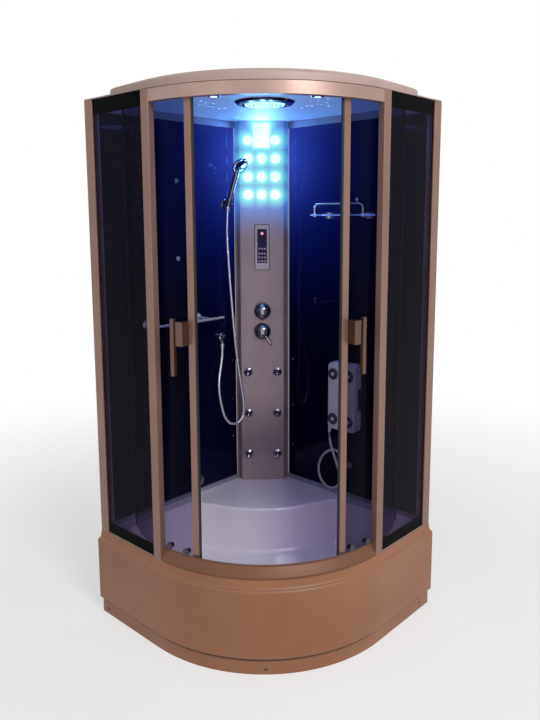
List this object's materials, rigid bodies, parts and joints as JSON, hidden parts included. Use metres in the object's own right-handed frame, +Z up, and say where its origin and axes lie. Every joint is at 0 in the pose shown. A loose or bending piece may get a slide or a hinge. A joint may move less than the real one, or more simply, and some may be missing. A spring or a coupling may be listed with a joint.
{
  "type": "steam shower cabin",
  "caption": "Quadrant corner steam shower cabin with curved sliding glass doors, seated tray, light column, hand shower, shelf, towel bar and wall massager.",
  "frame": {"origin": "centre of the square footprint, on the floor", "axes": "+Z up; the cabin's two walls are -X (left wall, seen from the doors) and +Y (right wall); the doors face +X, -Y"},
  "size_m": [1, 1, 2.15],
  "materials": {
    "acrylic": "gloss",
    "skirt": "satin",
    "steel": "satin",
    "chrome": "polished",
    "frame": "satin",
    "roof": "satin",
    "ceiling": "satin",
    "tinted_glass": "gloss",
    "wall_glass": "gloss",
    "seal": "matte",
    "column": "satin",
    "lamp": "satin",
    "circuit": "matte",
    "dark_plastic": "matte",
    "screen": "gloss",
    "brass": "satin",
    "clear_glass": "gloss",
    "white_plastic": "gloss"
  },
  "bodies": {
    "cabin": {"ceiling_panel": "ceiling", "ceiling_rings": "chrome", "column_flanges": "chrome", "control_column": "column", "display_bezel": "dark_plastic", "display_screen": "screen", "door_posts": "frame", "drain_waste": "chrome", "fan_housing": "ceiling", "header_rail": "frame", "lamp_board": "circuit", "lamp_lenses": "lamp", "massager_fittings": "dark_plastic", "massager_hose": "white_plastic", "massager_housing": "white_plastic", "panel_trims": "frame", "rain_head": "chrome", "roof_shell": "roof", "shelf_glass": "clear_glass", "shelf_rail": "chrome", "shower_hose": "chrome", "side_glass": "tinted_glass", "steam_generator": "dark_plastic", "threshold_rail": "frame", "towel_bar": "chrome", "tray_apron": "skirt", "tray_frame": "steel", "tray_tub": "acrylic", "wall_outlets": "chrome", "wall_panels": "wall_glass", "wall_profiles": "frame", "water_valves": "brass"},
    "door_left": {"door_glass_left": "tinted_glass", "door_stile_left": "frame", "door_seal_left": "seal", "door_fittings_left": "chrome"},
    "door_right": {"door_glass_right": "tinted_glass", "door_stile_right": "frame", "door_seal_right": "seal", "door_fittings_right": "chrome"},
    "fan_rotor": {"fan_impeller": "ceiling"},
    "diverter": {"diverter_knob": "chrome"},
    "mixer": {"mixer_lever": "chrome"},
    "outlet_handle": {"outlet_lever": "chrome"},
    "hand_shower_holder": {"shower_holder": "chrome", "hand_shower": "chrome"},
    "jet_1": {"jet_nozzle_1": "chrome"},
    "jet_2": {"jet_nozzle_2": "chrome"},
    "jet_3": {"jet_nozzle_3": "chrome"},
    "jet_4": {"jet_nozzle_4": "chrome"},
    "jet_5": {"jet_nozzle_5": "chrome"},
    "jet_6": {"jet_nozzle_6": "chrome"},
    "wheel_left_top_front": {"roller_left_top_front": "dark_plastic"},
    "wheel_left_top_rear": {"roller_left_top_rear": "dark_plastic"},
    "wheel_left_bottom_front": {"roller_left_bottom_front": "dark_plastic"},
    "wheel_left_bottom_rear": {"roller_left_bottom_rear": "dark_plastic"},
    "wheel_right_top_front": {"roller_right_top_front": "dark_plastic"},
    "wheel_right_top_rear": {"roller_right_top_rear": "dark_plastic"},
    "wheel_right_bottom_front": {"roller_right_bottom_front": "dark_plastic"},
    "wheel_right_bottom_rear": {"roller_right_bottom_rear": "dark_plastic"}
  },
  "joints": [
    {"name": "door_left_track", "type": "hinge", "parent": "cabin", "child": "door_left", "pos_m": [-0.12, 0.12, 1.2], "axis": [0, 0, 1], "range_deg": [0, 26.5]},
    {"name": "door_right_track", "type": "hinge", "parent": "cabin", "child": "door_right", "pos_m": [-0.12, 0.12, 1.2], "axis": [0, 0, -1], "range_deg": [0, 26.5]},
    {"name": "wheel_left_top_front_spin", "type": "hinge", "parent": "door_left", "child": "wheel_left_top_front", "pos_m": [0.0051, -0.4443, 2.07615], "axis": [0.2164, -0.9763, 0], "range_deg": [-1532, 0]},
    {"name": "wheel_left_top_rear_spin", "type": "hinge", "parent": "door_left", "child": "wheel_left_top_rear", "pos_m": [-0.07867, -0.45652, 2.07615], "axis": [0.0715, -0.9974, 0], "range_deg": [-1532, 0]},
    {"name": "wheel_left_bottom_front_spin", "type": "hinge", "parent": "door_left", "child": "wheel_left_bottom_front", "pos_m": [0.0051, -0.4443, 0.42415], "axis": [0.2164, -0.9763, 0], "range_deg": [-1532, 0]},
    {"name": "wheel_left_bottom_rear_spin", "type": "hinge", "parent": "door_left", "child": "wheel_left_bottom_rear", "pos_m": [-0.07867, -0.45652, 0.42415], "axis": [0.0715, -0.9974, 0], "range_deg": [-1532, 0]},
    {"name": "wheel_right_top_front_spin", "type": "hinge", "parent": "door_right", "child": "wheel_right_top_front", "pos_m": [0.4443, -0.0051, 2.07615], "axis": [0.9763, -0.2164, 0], "range_deg": [0, 1532]},
    {"name": "wheel_right_top_rear_spin", "type": "hinge", "parent": "door_right", "child": "wheel_right_top_rear", "pos_m": [0.45652, 0.07867, 2.07615], "axis": [0.9974, -0.0715, 0], "range_deg": [0, 1532]},
    {"name": "wheel_right_bottom_front_spin", "type": "hinge", "parent": "door_right", "child": "wheel_right_bottom_front", "pos_m": [0.4443, -0.0051, 0.42415], "axis": [0.9763, -0.2164, 0], "range_deg": [0, 1532]},
    {"name": "wheel_right_bottom_rear_spin", "type": "hinge", "parent": "door_right", "child": "wheel_right_bottom_rear", "pos_m": [0.45652, 0.07867, 0.42415], "axis": [0.9974, -0.0715, 0], "range_deg": [0, 1532]},
    {"name": "fan_spin", "type": "hinge", "parent": "cabin", "child": "fan_rotor", "pos_m": [-0.22776, -0.10458, 2.11], "axis": [0, 0, 1], "continuous": true},
    {"name": "diverter_turn", "type": "hinge", "parent": "cabin", "child": "diverter", "pos_m": [-0.37201, 0.37201, 1.212], "axis": [0.7071, -0.7071, 0], "range_deg": [-144, 144]},
    {"name": "mixer_turn", "type": "hinge", "parent": "cabin", "child": "mixer", "pos_m": [-0.37201, 0.37201, 1.114], "axis": [0.7071, -0.7071, 0], "range_deg": [-93, 27]},
    {"name": "jet_1_tilt", "type": "hinge", "parent": "cabin", "child": "jet_1", "pos_m": [-0.42151, 0.32252, 0.912], "axis": [0.7071, 0.7071, 0], "range_deg": [-12, 12]},
    {"name": "jet_2_tilt", "type": "hinge", "parent": "cabin", "child": "jet_2", "pos_m": [-0.32252, 0.42151, 0.912], "axis": [0.7071, 0.7071, 0], "range_deg": [-12, 12]},
    {"name": "jet_3_tilt", "type": "hinge", "parent": "cabin", "child": "jet_3", "pos_m": [-0.42151, 0.32252, 0.706], "axis": [0.7071, 0.7071, 0], "range_deg": [-12, 12]},
    {"name": "jet_4_tilt", "type": "hinge", "parent": "cabin", "child": "jet_4", "pos_m": [-0.32252, 0.42151, 0.706], "axis": [0.7071, 0.7071, 0], "range_deg": [-12, 12]},
    {"name": "jet_5_tilt", "type": "hinge", "parent": "cabin", "child": "jet_5", "pos_m": [-0.42151, 0.32252, 0.499], "axis": [0.7071, 0.7071, 0], "range_deg": [-12, 12]},
    {"name": "jet_6_tilt", "type": "hinge", "parent": "cabin", "child": "jet_6", "pos_m": [-0.32252, 0.42151, 0.499], "axis": [0.7071, 0.7071, 0], "range_deg": [-12, 12]},
    {"name": "outlet_turn", "type": "hinge", "parent": "cabin", "child": "outlet_handle", "pos_m": [-0.4647, 0.201, 1.096], "axis": [-1, 0, 0], "range_deg": [0, 90]},
    {"name": "holder_tilt", "type": "hinge", "parent": "cabin", "child": "hand_shower_holder", "pos_m": [-0.464, 0.242, 1.714], "axis": [0, 1, 0], "range_deg": [-12, 20]}
  ],
  "couplings": [
    {"joint": "wheel_left_top_front_spin", "follows": "door_left_track", "ratio": -57.8},
    {"joint": "wheel_left_top_rear_spin", "follows": "door_left_track", "ratio": -57.8},
    {"joint": "wheel_left_bottom_front_spin", "follows": "door_left_track", "ratio": -57.8},
    {"joint": "wheel_left_bottom_rear_spin", "follows": "door_left_track", "ratio": -57.8},
    {"joint": "wheel_right_top_front_spin", "follows": "door_right_track", "ratio": 57.8},
    {"joint": "wheel_right_top_rear_spin", "follows": "door_right_track", "ratio": 57.8},
    {"joint": "wheel_right_bottom_front_spin", "follows": "door_right_track", "ratio": 57.8},
    {"joint": "wheel_right_bottom_rear_spin", "follows": "door_right_track", "ratio": 57.8}
  ]
}
